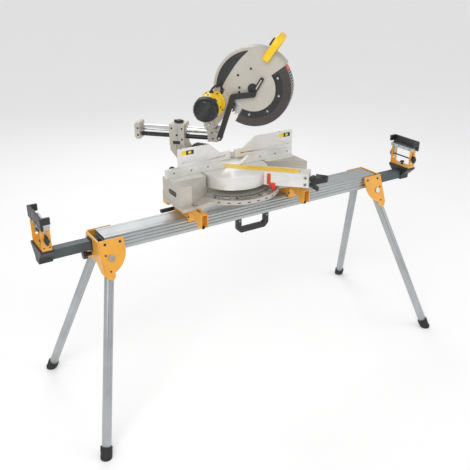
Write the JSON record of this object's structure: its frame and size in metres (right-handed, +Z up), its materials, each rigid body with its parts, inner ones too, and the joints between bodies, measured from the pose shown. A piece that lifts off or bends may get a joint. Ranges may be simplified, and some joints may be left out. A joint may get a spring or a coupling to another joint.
{
  "type": "mitre saw on stand",
  "caption": "Sliding compound mitre saw with a D-shaped handle, bolted on a long folding leg stand with extension arms, work supports and flip-up stops.",
  "frame": {"origin": "on the floor below the middle of the stand's beam", "axes": "+Z up, +X along the beam to the operator's right, +Y from the operator towards the fence"},
  "size_m": [2.004, 0.7744, 1.5933],
  "materials": {
    "beam": "satin extruded",
    "tubes": "satin powder coat",
    "leg_tube": "satin",
    "stand_yellow": "satin powder coat",
    "black_plastic": "matt",
    "rubber": "matt",
    "zinc": "zinc plated",
    "silver_bar": "satin",
    "casting": "painted die casting",
    "bright_table": "machined",
    "saw_yellow": "satin",
    "kerf": "matt",
    "red": "satin",
    "chrome": "hard chrome",
    "blade": "ground",
    "smoke_guard": "smoked satin",
    "motor_inner": "laminated steel and copper",
    "belt": "ribbed"
  },
  "bodies": {
    "stand": {"beam": "beam", "carry_handle": "black_plastic", "end_bracket_left": "stand_yellow", "end_bracket_right": "stand_yellow", "pivot_bolts_left": "zinc", "pivot_bolts_right": "zinc"},
    "front_left_leg": {"leg_front_left": "leg_tube", "foot_front_left": "rubber"},
    "rear_left_leg": {"leg_rear_left": "leg_tube", "foot_rear_left": "rubber"},
    "left_arm": {"arm_tube_left": "tubes", "support_base_left": "black_plastic", "support_frame_left": "stand_yellow"},
    "left_work_rest": {"support_bar_left": "silver_bar", "support_knobs_left": "black_plastic"},
    "left_stop": {"flip_stop_left": "black_plastic"},
    "left_arm_knob": {"arm_lock_knob_left": "black_plastic"},
    "left_clamp_lever": {"clamp_lever_left": "black_plastic"},
    "front_right_leg": {"leg_front_right": "leg_tube", "foot_front_right": "rubber"},
    "rear_right_leg": {"leg_rear_right": "leg_tube", "foot_rear_right": "rubber"},
    "right_arm": {"arm_tube_right": "tubes", "support_base_right": "black_plastic", "support_frame_right": "stand_yellow"},
    "right_work_rest": {"support_bar_right": "silver_bar", "support_knobs_right": "black_plastic"},
    "right_stop": {"flip_stop_right": "black_plastic"},
    "right_arm_knob": {"arm_lock_knob_right": "black_plastic"},
    "right_clamp_lever": {"clamp_lever_right": "black_plastic"},
    "saw": {"saw_bracket_left": "stand_yellow", "saw_bracket_right": "stand_yellow", "saw_base": "casting", "fixed_fence": "bright_table"},
    "left_fence": {"fence_left": "bright_table"},
    "right_fence": {"fence_right": "bright_table"},
    "table": {"turntable": "bright_table", "kerf_plates": "kerf", "mitre_pointer": "red"},
    "mitre_lock": {"mitre_lock_handle": "black_plastic"},
    "latch": {"mitre_latch": "black_plastic"},
    "bevel_arm": {"bevel_column": "casting", "dust_boot": "rubber"},
    "rail_knob": {"rail_lock_knob": "black_plastic"},
    "carriage": {"slide_rail": "chrome", "slide_tube": "black_plastic", "rail_end_brace": "casting", "slide_carriage": "casting"},
    "head": {"upper_guard": "casting", "motor_housing": "saw_yellow", "motor_cap": "black_plastic", "belt_cover": "black_plastic", "drive_belt": "belt", "d_handle": "saw_yellow"},
    "spindle": {"arbor": "zinc", "saw_blade": "blade"},
    "motor_rotor": {"armature": "motor_inner"},
    "lower_guard": {"lower_guard": "smoke_guard"},
    "guard_link": {"guard_link": "black_plastic"},
    "trigger": {"trigger": "black_plastic"}
  },
  "joints": [
    {"name": "front_left_leg_fold", "type": "hinge", "parent": "stand", "child": "front_left_leg", "pos_m": [-0.732, -0.07, 0.743], "axis": [0, -0.9304, 0.3665], "range_deg": [0, 76.2]},
    {"name": "rear_left_leg_fold", "type": "hinge", "parent": "stand", "child": "rear_left_leg", "pos_m": [-0.732, 0.07, 0.743], "axis": [0, -0.9304, -0.3665], "range_deg": [0, 76.2]},
    {"name": "left_arm_slide", "type": "slide", "parent": "stand", "child": "left_arm", "axis": [-1, 0, 0], "range_m": [-0.16, 0.9]},
    {"name": "left_support_height", "type": "slide", "parent": "left_arm", "child": "left_work_rest", "axis": [0, 0, 1], "range_m": [0, 0.025]},
    {"name": "left_stop_flip", "type": "hinge", "parent": "left_work_rest", "child": "left_stop", "pos_m": [-0.9875, 0.022, 0.928], "axis": [0, -1, 0], "range_deg": [0, 92]},
    {"name": "left_arm_knob_turn", "type": "hinge", "parent": "stand", "child": "left_arm_knob", "pos_m": [-0.78, 0.022, 0.739], "axis": [-1, 0, 0], "range_deg": [0, 180]},
    {"name": "front_right_leg_fold", "type": "hinge", "parent": "stand", "child": "front_right_leg", "pos_m": [0.732, -0.07, 0.743], "axis": [0, 0.9304, -0.3665], "range_deg": [0, 69]},
    {"name": "rear_right_leg_fold", "type": "hinge", "parent": "stand", "child": "rear_right_leg", "pos_m": [0.732, 0.07, 0.743], "axis": [0, 0.9304, 0.3665], "range_deg": [0, 69]},
    {"name": "right_arm_slide", "type": "slide", "parent": "stand", "child": "right_arm", "axis": [1, 0, 0], "range_m": [-0.16, 0.9]},
    {"name": "right_support_height", "type": "slide", "parent": "right_arm", "child": "right_work_rest", "axis": [0, 0, 1], "range_m": [0, 0.025]},
    {"name": "right_stop_flip", "type": "hinge", "parent": "right_work_rest", "child": "right_stop", "pos_m": [0.9875, -0.022, 0.928], "axis": [0, 1, 0], "range_deg": [0, 92]},
    {"name": "right_arm_knob_turn", "type": "hinge", "parent": "stand", "child": "right_arm_knob", "pos_m": [0.78, -0.022, 0.739], "axis": [1, 0, 0], "range_deg": [0, 180]},
    {"name": "saw_slide_along_beam", "type": "slide", "parent": "stand", "child": "saw", "axis": [1, 0, 0], "range_m": [-0.23, 0.42]},
    {"name": "left_clamp_swing", "type": "hinge", "parent": "saw", "child": "left_clamp_lever", "pos_m": [-0.34, 0.085, 0.827], "axis": [0, 0, -1], "range_deg": [0, 55]},
    {"name": "left_fence_slide", "type": "slide", "parent": "saw", "child": "left_fence", "axis": [1, 0, 0], "range_m": [-0.16, 0]},
    {"name": "right_clamp_swing", "type": "hinge", "parent": "saw", "child": "right_clamp_lever", "pos_m": [0.2, 0.085, 0.827], "axis": [0, 0, -1], "range_deg": [0, 55]},
    {"name": "right_fence_slide", "type": "slide", "parent": "saw", "child": "right_fence", "axis": [1, 0, 0], "range_m": [0, 0.19]},
    {"name": "mitre", "type": "hinge", "parent": "saw", "child": "table", "pos_m": [-0.07, 0.03, 0.993], "axis": [0, 0, -1], "range_deg": [-15, 95]},
    {"name": "mitre_lock_lift", "type": "hinge", "parent": "table", "child": "mitre_lock", "pos_m": [0.19163, -0.23163, 0.961], "axis": [-0.7071, -0.7071, 0], "range_deg": [0, 20]},
    {"name": "mitre_latch_squeeze", "type": "hinge", "parent": "table", "child": "latch", "pos_m": [0.18668, -0.22668, 0.934], "axis": [-0.7071, -0.7071, 0], "range_deg": [0, 10], "stiffness_Nm_per_rad": 0.6, "springref_deg": -8.59},
    {"name": "bevel", "type": "hinge", "parent": "table", "child": "bevel_arm", "pos_m": [-0.20435, 0.16435, 0.993], "axis": [-0.7071, 0.7071, 0], "range_deg": [-22.5, 45]},
    {"name": "rail_lock_turn", "type": "hinge", "parent": "bevel_arm", "child": "rail_knob", "pos_m": [-0.24678, 0.20678, 1.183], "axis": [0, 0, 1], "range_deg": [0, 90]},
    {"name": "head_slide", "type": "slide", "parent": "bevel_arm", "child": "carriage", "axis": [-0.7071, 0.7071, 0], "range_m": [-0.14, 0.094]},
    {"name": "chop", "type": "hinge", "parent": "carriage", "child": "head", "pos_m": [-0.13576, 0.09576, 1.197], "axis": [0.7071, 0.7071, 0], "range_deg": [0, 54], "stiffness_Nm_per_rad": 30, "springref_deg": -60.16},
    {"name": "blade_spin", "type": "hinge", "parent": "head", "child": "spindle", "pos_m": [-0.0007, -0.0393, 1.361], "axis": [0.7071, 0.7071, 0], "continuous": true},
    {"name": "armature_spin", "type": "hinge", "parent": "head", "child": "motor_rotor", "pos_m": [-0.12303, 0.08303, 1.293], "axis": [0.7071, 0.7071, 0], "continuous": true},
    {"name": "lower_guard_turn", "type": "hinge", "parent": "head", "child": "lower_guard", "pos_m": [-0.0007, -0.0393, 1.361], "axis": [0.7071, 0.7071, 0], "range_deg": [-141, 0]},
    {"name": "guard_link_turn", "type": "hinge", "parent": "carriage", "child": "guard_link", "pos_m": [-0.14354, 0.02151, 1.139], "axis": [0.7071, 0.7071, 0], "range_deg": [0, 54]},
    {"name": "trigger_pull", "type": "hinge", "parent": "head", "child": "trigger", "pos_m": [0.06857, -0.10857, 1.55064], "axis": [0.7071, 0.7071, 0], "range_deg": [0, 5], "stiffness_Nm_per_rad": 0.6, "springref_deg": -11.46}
  ],
  "couplings": [
    {"joint": "armature_spin", "follows": "blade_spin", "ratio": 1.43},
    {"joint": "lower_guard_turn", "follows": "chop", "ratio": -2.6},
    {"joint": "guard_link_turn", "follows": "chop", "ratio": 1}
  ]
}
